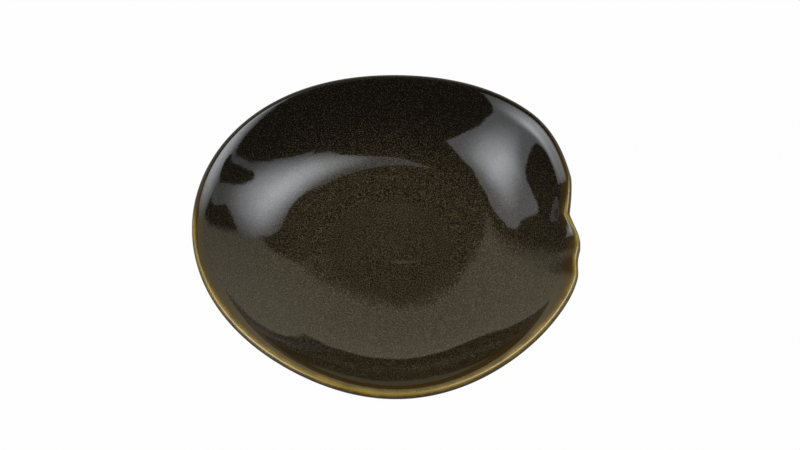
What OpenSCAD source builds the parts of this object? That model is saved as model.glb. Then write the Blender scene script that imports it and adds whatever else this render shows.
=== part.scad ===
// Soy sauce dish: a shallow stoneware dish, thrown round and then pressed out of
// round by hand, with a foot ring luted on with slip. A dark iron glaze covers it
// inside and out, and runs thin and amber over the lip.
// Sizes are millimetres. The dish stands on z = 0. +X is its right side, with the
// pressed rim and the small ear, and -Y is its front.

/* [Dish] */
// Overall width, left to right
dish_w = 100; // [85:1:125]
// Overall depth, front to back
dish_d = 98; // [85:1:125]
// Overall height, from the table to the rim's highest point
dish_h = 24.5; // [21:0.5:29]
// Diameter of the flat floor, where the wall starts to rise
floor_d = 48; // [46:1:60]
// How far the rim rises and falls on its way round
rim_sway = 3.3; // [0:0.1:4]

/* [Clay] */
// Thickness of the floor in the middle
floor_t = 3.4; // [3:0.1:5]
// Thickness of the wall halfway up
wall_t = 2.6; // [2.4:0.1:3.6]
// Thickness of the clay at the lip
lip_t = 1.6; // [1.2:0.1:2.4]
// Width of the band below the lip in which the wall thins
thinning_w = 2.5; // [2.5:0.5:5]

/* [Foot ring] */
// Outer diameter of the foot ring where it joins the body
foot_d = 46; // [38:1:50]
// Height of the foot ring
foot_h = 4.2; // [3.4:0.1:6]
// Width of the foot ring where it joins the body
foot_root_w = 5; // [4:0.1:6.5]
// Width of the bare face that the dish stands on
foot_face_w = 2.6; // [1.6:0.1:3.4]
// Radius of the foot ring's worn lower edges
foot_edge_r = 0.5; // [0.2:0.1:0.7]
// Thickness of the slip between the foot ring and the body
slip_t = 0.4; // [0.2:0.1:0.8]
// Reach of the smoothed slip on both sides of the foot ring
slip_reach = 0.9; // [0.4:0.1:1.2]

/* [Glaze] */
// Thickness of the glaze pooled on the floor
floor_glaze_t = 0.7; // [0.3:0.05:1]
// Thickness of the glaze where it has run thin over the lip
lip_glaze_t = 0.2; // [0.1:0.05:0.5]
// Thickness of the glaze on the outside of the wall
outside_glaze_t = 0.45; // [0.2:0.05:0.8]
// Thickness of the thick roll where the outside glaze stops
glaze_roll_t = 0.8; // [0.3:0.05:1.2]
// Thickness of the glaze inside the foot ring
foot_glaze_t = 0.4; // [0.2:0.05:0.7]
// Width of the bare clay between the glaze and the slip of the foot ring
bare_band = 1.6; // [1:0.1:2.4]
// Reach of the thin amber glaze down each side of the lip
amber_band = 4; // [3:0.5:6]

/* [Pressed side] */
// Depth of the broad press at the right side of the rim
press_depth = 3; // [0:0.1:5]
// Depth of the pointed nick behind the ear
nick_depth = 2.5; // [0:0.1:3]
// How far the ear stands out between its two nicks
ear_reach = 0.3; // [0:0.1:1.2]
// How far the ear dips below the rim beside it
ear_dip = 0.3; // [0:0.1:1.2]
// Depth of the small nick in front of the ear
small_nick_depth = 0.8; // [0:0.1:1.2]

/* [Hidden] */

clay_colour = [0.66, 0.56, 0.44];
slip_colour = [0.58, 0.48, 0.37];
dark_glaze_colour = [0.16, 0.14, 0.1];
amber_glaze_colour = [0.5, 0.37, 0.12];

// Waves of the pressed rim: crests in one turn, height as a share of the rim's
// radius, and the angle of one crest.
wave_shares = [[2, 0.1033, -1], [3, 0.0264, 30], [4, 0.0097, 5]];
// Waves of the rim's height: crests in one turn, share of its sway, crest angle.
sway_shares = [[1, 0.36, 31], [2, 0.52, 74], [3, 0.12, 37]];
// Waves of the bend between floor and wall: crests in one turn, how much farther
// out the bend lies as a share of its radius, crest angle.
bend_shares = [[1, 0.1, 85], [3, 0.03, 65]];

// Middle and half width of each feature of the pressed side, in degrees from +X
// towards +Y.
press_at = 8.5;
press_half = 31;
nick_at = 4.5;
nick_half = 11;
nick_point_share = 0.04;
nick_power = 1.2;
ear_at = -1.7;
ear_half = 4;
small_nick_at = -9.4;
small_nick_half = 6;

// How the wall's height is shared by the dished floor, the bend at the floor's
// edge and the curve of the wall above it.
dished_share = 0.02;
bend_share = 0.375;
curl_share = 1 - dished_share - bend_share;
bend_softness_share = 0.063;

// Powers of the way from the centre to the rim, which say how far inwards the
// broad press and the sharp nicks reach.
broad_fade = 1.6;
sharp_fade = 9;

// Rings of points on the inside and the outside of the wall, as shares of the way
// from the centre to the lip.
inside_shares = [0.15, 0.28, 0.38, 0.46, 0.53, 0.6, 0.67, 0.74, 0.81, 0.87];
outside_shares = [0.87, 0.8, 0.73, 0.66, 0.6];
amber_rim_shares = [0, 0.36, 0.7];
// The thick roll at the glaze line: the distance of its crest from the line and the
// width over which it falls off above that, as shares of its thickness.
roll_crest_share = 1.5;
roll_fall_share = 5;
least_step_share = 0.02;
slope_step_share = 0.001;
lip_steps = 6;
close_step = 1.5;
wide_step = 5.3;
fillet_steps = 5;
round_fn = 120;

coated_lip_t = lip_t + 2 * lip_glaze_t;
foot_r = foot_d / 2;
foot_hole_r = foot_r - foot_root_w;
seat_z = foot_h + slip_t;
floor_mid_z = seat_z + floor_t / 2;
seat_r = foot_r + slip_reach + bare_band / 2;
glaze_line_r = foot_r + slip_reach + bare_band;
roll_start_r = glaze_line_r + glaze_roll_t / 2;
roll_crest_r = glaze_line_r + roll_crest_share * glaze_roll_t;
roll_fall_w = roll_fall_share * glaze_roll_t;
foot_well_r = foot_hole_r - slip_reach - bare_band / 2;

function total(v, i = 0) = i < len(v) ? v[i] + total(v, i + 1) : 0;
function mix(a, b, share) = a + (b - a) * share;
function smooth(t) = let (c = max(0, min(1, t))) c * c * (3 - 2 * c);
function polar(r, a) = [r * cos(a), r * sin(a)];
function span(v) = max(v) - min(v);
function middle(v) = (max(v) + min(v)) / 2;
function reversed(v) = [for (i = [len(v) - 1:-1:0]) v[i]];

// Share of the way up at the share u of the way out, where the floor bends into the
// wall at the share b.
function past_bend(u, b) = (u - b) / (1 - b);
function soft_bend(u, b) =
    ln(1 + exp((u - b) / bend_softness_share)) * bend_softness_share / (1 - b);
function raw_rise(u, b) =
    dished_share * u * u + bend_share * soft_bend(u, b)
        + curl_share * pow(max(0, past_bend(u, b)), 2);
function rise(u, b) = raw_rise(u, b) / raw_rise(1, b);

// The lip is a round edge between two faces that close in on each other. Its crest
// and its outermost point follow from the wall's usual slope there.
lip_taper = atan((wall_t - lip_t) / thinning_w);
usual_r = (dish_w + dish_d) / 4 - lip_t / 2;
bend_at = floor_d / 2 / usual_r;
usual_slope = atan((dish_h - lip_t / 2 - floor_mid_z) / usual_r
    * (1 - rise(1 - slope_step_share, bend_at)) / slope_step_share);
function edge_r(edge_t) = edge_t / 2 / cos(lip_taper);
function edge_back(edge_t) = edge_t / 2 * tan(lip_taper);
coated_reach = edge_r(coated_lip_t) - edge_back(coated_lip_t) * cos(usual_slope);
lip_top_z = dish_h - edge_r(coated_lip_t) + edge_back(coated_lip_t) * sin(usual_slope);

// A feature is 1 in its middle and falls to 0 at its half width. A turn is 360.
function away(a, at, half) = min(1, abs((a - at + 540) % 360 - 180) / half);
function feature(a, at, half) = pow(cos(90 * away(a, at, half)), 2);
// The same with a pointed middle, which is rounded only over the share s.
function pointed(x, s) = 1 - (norm([x, s]) - s) / (norm([1, s]) - s);
function pinch(a, at, half) = pow(pointed(away(a, at, half), nick_point_share), nick_power);
function waves(a, shares) = total([for (w = shares) w[1] * cos(w[0] * (a - w[2]))]);

// Angles of the columns of points: close together through the pressed side.
close_from = small_nick_at - 1.5 * small_nick_half;
close_to = press_at + press_half;
close_count = round((close_to - close_from) / close_step);
wide_count = round((360 - close_to + close_from) / wide_step);
angles = concat(
    [for (i = [0:close_count - 1]) mix(close_from, close_to, i / close_count)],
    [for (i = [0:wide_count - 1]) mix(close_to, close_from + 360, i / wide_count)]);

// Moves of the rim: the broad press bends the whole wall, and the nicks and the
// ear only its upper part.
function press_move(a) = -press_depth * feature(a, press_at, press_half);
function sharp_move(a) = ear_reach * feature(a, ear_at, ear_half)
    - nick_depth * pinch(a, nick_at, nick_half)
    - small_nick_depth * feature(a, small_nick_at, small_nick_half);

// The middle of the lip in plan, for the half widths run = [along X, along Y].
function lip_plan(a, run) =
    let (wavy = 1 + waves(a, wave_shares), move = press_move(a) + sharp_move(a))
    [(run[0] * wavy + move) * cos(a), (run[1] * wavy + move) * sin(a)];
function outer_plan(a, run) = let (p = lip_plan(a, run)) p + coated_reach * p / norm(p);
function plan_spans(run) =
    let (ring = [for (a = angles) outer_plan(a, run)])
    [span([for (p = ring) p[0]]), span([for (p = ring) p[1]])];
// The half widths at which the coated lip is dish_w wide and dish_d deep.
function fitted_run(run, tries = 6) =
    tries == 0 ? run : fitted_run(run + ([dish_w, dish_d] - plan_spans(run)) / 2, tries - 1);
run = fitted_run([dish_w, dish_d] / 2);
mean_r = (run[0] + run[1]) / 2;
lip_ring = [for (a = angles) outer_plan(a, run)];
foot_centre = -[middle([for (p = lip_ring) p[0]]), middle([for (p = lip_ring) p[1]])];

sways = [for (a = angles) waves(a, sway_shares)];
function lip_z(a) =
    lip_top_z + rim_sway * (waves(a, sway_shares) - max(sways)) / span(sways);

// One column for each angle: its direction in plan, the lip's distance from the
// foot's axis without the sharp moves, the sharp move, the lip's height, the dip
// of the ear and the share of the way out at which the floor bends into the wall.
columns = [for (a = angles)
    let (p = lip_plan(a, run))
    [p / norm(p), norm(p) - sharp_move(a), sharp_move(a), lip_z(a),
     ear_dip * feature(a, ear_at, ear_half), bend_at * (1 + waves(a, bend_shares))]];
n = len(columns);

// The middle of the wall in column c, as [distance from the foot's axis, height].
function wall_mid(c, u) =
    [u * mix(mean_r, c[1], pow(u, broad_fade)) + c[2] * pow(u, sharp_fade),
     mix(floor_mid_z, c[3], rise(u, c[5])) - c[4] * pow(u, sharp_fade)];
function wall_slope(c, u) =
    let (d = wall_mid(c, u + slope_step_share) - wall_mid(c, u - slope_step_share))
    atan2(d[1], d[0]);
function thinned(u) = max(0, 1 - (1 - u) * mean_r / thinning_w);
function clay_t(u) =
    mix(floor_t, wall_t, smooth(past_bend(u, bend_at) * 2))
        - (wall_t - lip_t) * pow(thinned(u), 2);
function inside_glaze_t(u) = mix(floor_glaze_t, lip_glaze_t, smooth(past_bend(u, bend_at)));

// The outside of the clay, flattened to a seat for the foot ring's slip.
function outside_clay(c, u) =
    let (p = wall_mid(c, u) - polar(clay_t(u) / 2, wall_slope(c, u) + 90))
    [p[0], mix(seat_z, p[1], smooth((p[0] - seat_r) / wall_t))];
function outside_coat_t(u) =
    let (past_roll = u * mean_r - roll_crest_r, below_lip = (1 - u) * mean_r)
    mix(lip_glaze_t,
        mix(glaze_roll_t, outside_glaze_t, smooth(past_roll / roll_fall_w)),
        smooth(below_lip / amber_band));

// A station is one ring of points. ["in", u] and ["out", u] lie on the two sides of
// the wall, ["lip", t] goes over the round lip from its inside, and ["seat", r] is on
// the flat seat.
amber_u = 1 - amber_band / mean_r;
amber_us = [for (share = amber_rim_shares) mix(amber_u, 1, share)];
glaze_line_u = roll_start_r / mean_r;
glaze_roll_u = roll_crest_r / mean_r;
inside_stations = [for (u = inside_shares) if (u < amber_u - least_step_share) ["in", u]];
rim_stations = concat(
    [for (u = amber_us) ["in", u]],
    [for (i = [0:lip_steps]) ["lip", i / lip_steps]],
    [for (u = reversed(amber_us)) ["out", u]]);
outside_stations = concat(
    [for (u = outside_shares)
        if (u < amber_u - least_step_share && u > glaze_roll_u + least_step_share) ["out", u]],
    [["out", glaze_roll_u], ["out", glaze_line_u]]);
stations = concat(inside_stations, rim_stations, outside_stations);
amber_first = len(inside_stations);
amber_last = amber_first + len(rim_stations) - 1;
glaze_last = len(stations) - 1;

// The point of station s in column c, on the clay (coated = 0) or on the glaze that
// covers it (coated = 1).
function lip_point(c, t, edge_t) =
    let (slope = wall_slope(c, 1))
    wall_mid(c, 1) - polar(edge_back(edge_t), slope)
        + polar(edge_r(edge_t), slope + (90 - lip_taper) * (1 - 2 * t));
function section_point(c, s, coated) =
    s[0] == "seat" ? [s[1], seat_z] :
    s[0] == "lip" ? lip_point(c, s[1], coated ? coated_lip_t : lip_t) :
    s[0] == "in" ? wall_mid(c, s[1])
        + polar(clay_t(s[1]) / 2 + coated * inside_glaze_t(s[1]), wall_slope(c, s[1]) + 90) :
    outside_clay(c, s[1]) + polar(coated * outside_coat_t(s[1]), wall_slope(c, s[1]) - 90);
function ring_points(s, coated) = [for (c = columns)
    let (q = section_point(c, s, coated))
    [foot_centre[0] + q[0] * c[0][0], foot_centre[1] + q[0] * c[0][1], q[1]]];
function pole_point(z) = [foot_centre[0], foot_centre[1], z];

// Triangles between the rings first to last of a stack, seen from the open side.
function band_faces(first, last) = [for (k = [first:last - 1], j = [0:n - 1])
    let (p = k * n + j, q = k * n + (j + 1) % n)
    each [[p, q + n, p + n], [p, q, q + n]]];
function cap_faces(k, pole) = [for (j = [0:n - 1]) [k * n + j, pole, k * n + (j + 1) % n]];
// Triangles that join ring k of the lower stack to the same ring of the upper one.
function edge_faces(k, by) = [for (j = [0:n - 1])
    let (p = k * n + j, q = k * n + (j + 1) % n)
    each [[p, q + by, q], [p, p + by, q + by]]];
function turned(faces) = [for (f = faces) [f[0], f[2], f[1]]];
function lifted(faces, by) = [for (f = faces) [f[0] + by, f[1] + by, f[2] + by]];

// A coat of glaze from station first to station last, closed at the foot's axis
// where it reaches the middle of the floor.
module coat(first, last, over_floor) {
    count = last - first + 1;
    upper = count * n;
    pole = 2 * upper;
    floor_top_z = floor_mid_z + floor_t / 2;
    polyhedron(
        concat(
            [for (k = [first:last]) each ring_points(stations[k], 0)],
            [for (k = [first:last]) each ring_points(stations[k], 1)],
            over_floor ? [pole_point(floor_top_z), pole_point(floor_top_z + floor_glaze_t)] : []),
        concat(
            turned(band_faces(0, count - 1)),
            lifted(band_faces(0, count - 1), upper),
            edge_faces(count - 1, upper),
            over_floor ?
                concat(turned(cap_faces(0, pole)), cap_faces(count, pole + 1)) :
                turned(edge_faces(0, upper))));
}

module clay_body() {
    rings = concat(stations, [["seat", seat_r]]);
    last = len(rings) - 1;
    pole = len(rings) * n;
    color(clay_colour)
    polyhedron(
        concat([for (s = rings) each ring_points(s, 0)],
               [pole_point(floor_mid_z + floor_t / 2), pole_point(seat_z)]),
        concat(band_faces(0, last), cap_faces(0, pole), turned(cap_faces(last, pole + 1))));
}

module on_foot_axis() {
    translate([foot_centre[0], foot_centre[1], 0]) rotate_extrude($fn = round_fn) children();
}

// The two sloping sides of the foot ring: distance from the axis at the height z.
foot_mid_r = foot_r - foot_root_w / 2;
function foot_half_w(z) = mix(foot_face_w / 2 + foot_edge_r, foot_root_w / 2,
    (z - foot_edge_r) / (foot_h - foot_edge_r));
function foot_section() = concat(
    [[foot_mid_r + foot_root_w / 2, foot_h], [foot_mid_r - foot_root_w / 2, foot_h]],
    [for (i = [0:fillet_steps]) let (a = 180 + 90 * i / fillet_steps)
        [foot_mid_r - foot_face_w / 2, foot_edge_r] + polar(foot_edge_r, a)],
    [for (i = [0:fillet_steps]) let (a = 270 + 90 * i / fillet_steps)
        [foot_mid_r + foot_face_w / 2, foot_edge_r] + polar(foot_edge_r, a)]);

module foot_ring() {
    color(clay_colour) on_foot_axis() polygon(foot_section());
}

// The slip: a thin layer over the foot ring, smoothed down its sides on the side
// (-1 inwards, 1 outwards) as a hollow fillet.
slip_low_z = foot_h - slip_reach / 2;
function slip_side(side) =
    let (high = [foot_mid_r + side * (foot_root_w / 2 + slip_reach), seat_z],
         low = [foot_mid_r + side * foot_half_w(slip_low_z), slip_low_z],
         corner = [foot_mid_r + side * foot_root_w / 2, seat_z])
    [for (i = [0:fillet_steps]) let (t = i / fillet_steps)
        mix(mix(high, corner, t), mix(corner, low, t), t)];

module luting_slip() {
    color(slip_colour) on_foot_axis()
    polygon(concat(
        slip_side(1),
        [[foot_mid_r + foot_root_w / 2, foot_h], [foot_mid_r - foot_root_w / 2, foot_h]],
        reversed(slip_side(-1))));
}

module inside_glaze() {
    color(dark_glaze_colour) coat(0, amber_first, true);
}

module rim_glaze() {
    color(amber_glaze_colour) coat(amber_first, amber_last, false);
}

module outside_glaze() {
    color(dark_glaze_colour) coat(amber_last, glaze_last, false);
}

module foot_well_glaze() {
    color(dark_glaze_colour) on_foot_axis()
    polygon(concat(
        [[0, seat_z - foot_glaze_t], [0, seat_z]],
        [for (i = [0:fillet_steps]) let (a = 90 * i / fillet_steps)
            [foot_well_r - foot_glaze_t, seat_z] + foot_glaze_t * [cos(a), -sin(a)]]));
}

clay_body();
foot_ring();
luting_slip();
inside_glaze();
rim_glaze();
outside_glaze();
foot_well_glaze();
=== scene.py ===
# %% [markdown]
# Soy sauce dish. A small stoneware dish, thrown on the wheel, pressed out of round
# by hand and covered with a glossy dark iron glaze that runs thin and amber over
# the lip. The frame already holds every piece at its real size. This script gives
# the pieces the smooth surfaces and the finishes of fired clay and glaze, and sets
# up a small photo studio, because a glossy dark glaze is seen by what it mirrors.

# %% Load the frame
import math
from collections import namedtuple
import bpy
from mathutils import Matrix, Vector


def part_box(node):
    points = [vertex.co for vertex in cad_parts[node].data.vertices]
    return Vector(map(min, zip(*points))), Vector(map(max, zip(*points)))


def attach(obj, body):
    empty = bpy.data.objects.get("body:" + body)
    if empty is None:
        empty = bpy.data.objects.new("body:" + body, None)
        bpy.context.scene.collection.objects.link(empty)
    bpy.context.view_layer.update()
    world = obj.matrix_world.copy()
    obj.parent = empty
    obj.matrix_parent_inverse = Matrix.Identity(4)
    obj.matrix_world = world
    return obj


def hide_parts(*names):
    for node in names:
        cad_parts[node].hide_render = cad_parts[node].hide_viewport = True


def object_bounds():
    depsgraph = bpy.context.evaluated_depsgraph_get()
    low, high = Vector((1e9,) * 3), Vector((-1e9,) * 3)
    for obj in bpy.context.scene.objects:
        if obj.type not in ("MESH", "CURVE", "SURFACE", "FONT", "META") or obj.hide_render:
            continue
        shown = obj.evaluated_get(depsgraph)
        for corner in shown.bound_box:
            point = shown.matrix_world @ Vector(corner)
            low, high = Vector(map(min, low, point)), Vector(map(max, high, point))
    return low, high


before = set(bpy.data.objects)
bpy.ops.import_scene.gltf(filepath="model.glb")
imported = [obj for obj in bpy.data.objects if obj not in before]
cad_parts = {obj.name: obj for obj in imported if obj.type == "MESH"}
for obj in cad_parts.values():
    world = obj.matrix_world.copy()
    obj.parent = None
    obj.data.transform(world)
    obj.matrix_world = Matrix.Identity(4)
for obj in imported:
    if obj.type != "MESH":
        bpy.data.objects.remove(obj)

from types import SimpleNamespace

import bmesh
import bpy
import numpy as np
from mathutils import Matrix, Vector

MM = 0.001
cad_box = [list(corner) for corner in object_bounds()]
print("frame nodes:", sorted(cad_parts))

# %% [markdown]
# What the frame says. The foot ring is round, so the middle of its box is the axis
# on which the dish was thrown, and the top of the slip is the seat of the body.
# These are read from the frame and not written again, so that the smooth pieces
# stay on the solids when a size changes.

# %% Measure the frame
dish_low, dish_high = (Vector(corner) for corner in cad_box)
foot_low, foot_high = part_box("foot_ring")
FOOT_AXIS = (foot_low + foot_high) / 2
FOOT_RADIUS = (foot_high.x - foot_low.x) / 2
FOOT_HEIGHT = foot_high.z
SEAT_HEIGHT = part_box("luting_slip")[1].z
DISH_WIDTH = dish_high.x - dish_low.x
DISH_DEPTH = dish_high.y - dish_low.y
DISH_HEIGHT = dish_high.z
print(f"dish {DISH_WIDTH / MM:.1f} x {DISH_DEPTH / MM:.1f} x {DISH_HEIGHT / MM:.1f} mm,",
      f"foot axis at {FOOT_AXIS.x / MM:.2f}, {FOOT_AXIS.y / MM:.2f} mm")

# %% [markdown]
# The pressed rim. A thrown dish is round. Its rim is then pushed in at the right
# and pinched to a small ear while the clay is soft. A sculpting brush could do
# this, but a few waves and a few soft dents, each with a place and a width, give
# the same rim every time and are easy to change. Angles are degrees from +X
# towards +Y, and the functions take whole rings of angles at once.

# %% Waves and dents
Wave = namedtuple("Wave", "crests share crest_angle")
Dent = namedtuple("Dent", "depth middle half_width")


def mix(a, b, share):
    return a + (b - a) * share


def smooth(t):
    t = np.clip(t, 0, 1)
    return t * t * (3 - 2 * t)


def between(value, start, end):
    """0 at the start and 1 at the end, with a soft rise between them."""
    return smooth((value - start) / (end - start))


def waves(angle, several):
    return sum(wave.share * np.cos(np.radians(wave.crests * (angle - wave.crest_angle))) for wave in several)


def away(angle, dent):
    """0 in the middle of a dent and 1 at its ends and beyond them."""
    return np.minimum(1, np.abs((angle - dent.middle + 540) % 360 - 180) / dent.half_width)


def dented(angle, *dents):
    """How far soft dents reach in at each angle."""
    return sum(dent.depth * np.cos(np.radians(90 * away(angle, dent))) ** 2 for dent in dents)


# %% Outline of the lip
RIM_WAVES = [Wave(2, 0.1033, -1), Wave(3, 0.0264, 30), Wave(4, 0.0097, 5)]       # shares of the radius
PRESS = Dent(3 * MM, 8.5, 31)
NICK = Dent(2.5 * MM, 4.5, 11)
NICK_POINT = 0.04          # how blunt the point of the nick is
NICK_POWER = 1.2           # above 1, the sides of the nick are hollow
SMALL_NICK = Dent(0.8 * MM, -9.4, 6)
EAR = Dent(-0.3 * MM, -1.7, 4)


def pinched(angle, dent):
    """How far a dent with a pointed middle reaches in at each angle."""
    slant = np.hypot(away(angle, dent), NICK_POINT) - NICK_POINT
    return dent.depth * (1 - slant / (math.hypot(1, NICK_POINT) - NICK_POINT)) ** NICK_POWER


def sharp_dents(angle):
    return pinched(angle, NICK) + dented(angle, SMALL_NICK, EAR)


def lip_plan(angle, half_width, half_depth):
    """The middle of the lip seen from above, from the foot's axis."""
    wavy = 1 + waves(angle, RIM_WAVES)
    pushed = dented(angle, PRESS) + sharp_dents(angle)
    turn = np.radians(angle)
    return np.array(((half_width * wavy - pushed) * np.cos(turn),
                     (half_depth * wavy - pushed) * np.sin(turn)))


# %% [markdown]
# The section of the wall. It has a barely hollow floor, a soft bend where the wall
# starts and a wall that steepens. "out" is the way from the middle to the lip, 0 to
# 1. The clay keeps its thickness until the last few millimetres, where its inner
# face flattens towards a thin round lip. In a glossy dish this section decides the
# shape of every reflection, so it is worth a formula of its own.

# %% Section of the wall
FLOOR_RADIUS = 24 * MM
FLOOR_THICK = 3.4 * MM
WALL_THICK = 2.6 * MM
LIP_THICK = 1.6 * MM
LIP_GLAZE = 0.2 * MM
THINNING_WIDTH = 2.5 * MM
HOLLOW_SHARE = 0.02        # three shares of the rise from the floor to the lip
BEND_SHARE = 0.375
CURL_SHARE = 1 - HOLLOW_SHARE - BEND_SHARE
BEND_SOFTNESS = 0.063

FLOOR_MIDDLE = SEAT_HEIGHT + FLOOR_THICK / 2
COATED_LIP = LIP_THICK + 2 * LIP_GLAZE
USUAL_RADIUS = (DISH_WIDTH + DISH_DEPTH) / 4 - LIP_THICK / 2
BEND_AT = FLOOR_RADIUS / USUAL_RADIUS
LIP_TAPER = math.atan((WALL_THICK - LIP_THICK) / THINNING_WIDTH)
print(f"the floor bends into the wall {BEND_AT:.2f} of the way out")


def past_bend(out, bend_at=BEND_AT):
    return (out - bend_at) / (1 - bend_at)


def raw_rise(out, bend_at):
    bend = np.logaddexp(0, (out - bend_at) / BEND_SOFTNESS) * BEND_SOFTNESS / (1 - bend_at)
    curl = np.maximum(0, past_bend(out, bend_at)) ** 2
    return HOLLOW_SHARE * out ** 2 + BEND_SHARE * bend + CURL_SHARE * curl


def rise(out, bend_at=BEND_AT):
    """Share of the way up where the floor bends into the wall at bend_at."""
    return raw_rise(out, bend_at) / raw_rise(1, bend_at)


def polar(radius, turn):
    return np.array((radius * np.cos(turn), radius * np.sin(turn)))


def lip_round(thickness):
    """Radius of the round lip, and how far its centre lies inside the lip's middle."""
    return thickness / 2 / math.cos(LIP_TAPER), thickness / 2 * math.tan(LIP_TAPER)


# %% [markdown]
# Fitting the rim. The frame's box is measured over the glaze, so the middle of the
# lip lies a little inside it, and the waves and dents change the width as well.
# Instead of solving for that, the rim is made, measured and widened by what it
# lacks a few times over, until it fills the box.

# %% Fit the rim to the frame
TURNS = 480          # columns of points round the dish
SMALL_STEP = 0.001
FIT_ROUNDS = 6
all_angles = np.arange(TURNS) * 360 / TURNS
usual_slope = math.atan((DISH_HEIGHT - LIP_THICK / 2 - FLOOR_MIDDLE) / USUAL_RADIUS
                        * (1 - rise(1 - SMALL_STEP)) / SMALL_STEP)
lip_radius, lip_back = lip_round(COATED_LIP)
LIP_REACH = lip_radius - lip_back * math.cos(usual_slope)
LIP_TOP = DISH_HEIGHT - lip_radius + lip_back * math.sin(usual_slope)

half_width, half_depth = DISH_WIDTH / 2, DISH_DEPTH / 2
for attempt in range(FIT_ROUNDS):
    ring = lip_plan(all_angles, half_width, half_depth)
    ring = ring + LIP_REACH * ring / np.hypot(*ring)
    half_width += (DISH_WIDTH - np.ptp(ring[0])) / 2
    half_depth += (DISH_DEPTH - np.ptp(ring[1])) / 2
MEAN_RADIUS = (half_width + half_depth) / 2
print(f"rim half widths {half_width / MM:.2f} and {half_depth / MM:.2f} mm")

# %% [markdown]
# How thick the glaze lies. It is thickest on the floor and thins up the wall, and
# outside it ends above the foot in a roll. Inside, the wet glaze also ran together
# in very shallow pools below the lip: one by the nick, and one at each side of the
# front. They add about a millimetre at most, but they tilt the mirror of the glaze
# by a few degrees, and that bends the ends of the reflections.

# %% Thickness of the glaze
FLOOR_GLAZE = 0.7 * MM
OUTSIDE_GLAZE = 0.45 * MM
GLAZE_ROLL = 0.8 * MM
ROLL_CREST = 1.5           # in widths of the roll, as is its fall
ROLL_FALL = 5
AMBER_BAND = 4 * MM
SLIP_REACH = 0.9 * MM
BARE_BAND = 1.6 * MM
GLAZE_LINE = FOOT_RADIUS + SLIP_REACH + BARE_BAND

NICK_POOL = Dent(0.25 * MM, 22, 30)
NICK_POOL_TOP = 1.8 * MM
NICK_POOL_LENGTH = 7 * MM
LEFT_POOL = Dent(1.05 * MM, 211, 32)
RIGHT_POOL = Dent(0.95 * MM, 340, 31)
FRONT_POOL_TOP = 12 * MM
FRONT_POOL_LENGTH = 18 * MM
print(f"the outside glaze ends {GLAZE_LINE / MM:.1f} mm from the axis")


def inside_glaze(out):
    return mix(FLOOR_GLAZE, LIP_GLAZE, smooth(past_bend(out)))


def outside_glaze(out):
    past_roll = (out * MEAN_RADIUS - GLAZE_LINE - ROLL_CREST * GLAZE_ROLL) / (ROLL_FALL * GLAZE_ROLL)
    below_lip = (1 - out) * MEAN_RADIUS / AMBER_BAND
    return mix(LIP_GLAZE, mix(GLAZE_ROLL, OUTSIDE_GLAZE, smooth(past_roll)), smooth(below_lip))


def pool_share(out, top, length):
    """0 on the lip, 1 at the pool's top below it, and 0 again at the pool's lower end."""
    below = (1 - out) * MEAN_RADIUS
    return smooth(below / top) * (1 - smooth((below - top) / length))


def pools(cut, out):
    """What the pools add to the glaze inside, in each slice."""
    by_the_nick = cut.nick_pool * pool_share(out, NICK_POOL_TOP, NICK_POOL_LENGTH)
    return by_the_nick + cut.front_pools * pool_share(out, FRONT_POOL_TOP, FRONT_POOL_LENGTH)


# %% [markdown]
# Slices. The dish is cut like a cake, and each slice has the same section, pulled
# to its own rim. The broad waves of the rim fade slowly down the wall, and a nick
# or the ear fades within a few millimetres, as pinched clay does.

# %% Slices of the dish
RIM_SWAY = 3.3 * MM
HEIGHT_WAVES = [Wave(1, 0.36, 31), Wave(2, 0.52, 74), Wave(3, 0.12, 37)]         # shares of the sway
BEND_WAVES = [Wave(1, 0.1, 85), Wave(3, 0.03, 65)]                               # shares of the radius
EAR_DIP = Dent(0.3 * MM, -1.7, 4)
BROAD_FADE = 1.6
SHARP_FADE = 14
FLOOR_FADE = 0.5          # share of the wall over which the floor's extra thickness goes
sways = waves(all_angles, HEIGHT_WAVES)


def slice_at(angle):
    """The rim and the pools at each angle, and where the floor bends into the wall there."""
    plan = lip_plan(angle, half_width, half_depth)
    distance = np.hypot(*plan)
    pushed = sharp_dents(angle)
    height = LIP_TOP + RIM_SWAY * (waves(angle, HEIGHT_WAVES) - sways.max()) / np.ptp(sways)
    return SimpleNamespace(direction=plan / distance, distance=distance + pushed, pushed=pushed,
                           height=height, dip=dented(angle, EAR_DIP),
                           nick_pool=dented(angle, NICK_POOL),
                           front_pools=dented(angle, LEFT_POOL, RIGHT_POOL),
                           bend_at=BEND_AT * (1 + waves(angle, BEND_WAVES)))


def round_slice():
    """Any slice of the dish as it was before it was pressed."""
    return SimpleNamespace(distance=MEAN_RADIUS, pushed=0.0, height=slice_at(all_angles).height.mean(),
                           dip=0.0, nick_pool=0.0, front_pools=0.0, bend_at=BEND_AT)


def wall_middle(cut, out):
    across = out * mix(MEAN_RADIUS, cut.distance, out ** BROAD_FADE) - cut.pushed * out ** SHARP_FADE
    height = mix(FLOOR_MIDDLE, cut.height, rise(out, cut.bend_at)) - cut.dip * out ** SHARP_FADE
    return np.array((across, height))


def wall_slope(cut, out):
    step = wall_middle(cut, out + SMALL_STEP) - wall_middle(cut, max(0.0, out - SMALL_STEP))
    return np.arctan2(step[1], step[0])


def clay_thickness(out):
    thinned = max(0.0, 1 - (1 - out) * MEAN_RADIUS / THINNING_WIDTH)
    thick = mix(FLOOR_THICK, WALL_THICK, smooth(past_bend(out) / FLOOR_FADE))
    return thick - (WALL_THICK - LIP_THICK) * thinned ** 2


# %% [markdown]
# Stations. A station is one place on the section, such as a point of the inside or
# of the round lip, on the bare clay (coat 0) or on top of its glaze (coat 1). A
# piece is a line of stations. Every piece uses the same few lines, so the glaze
# lies on the clay exactly, and neighbouring coats meet without a gap.

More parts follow.
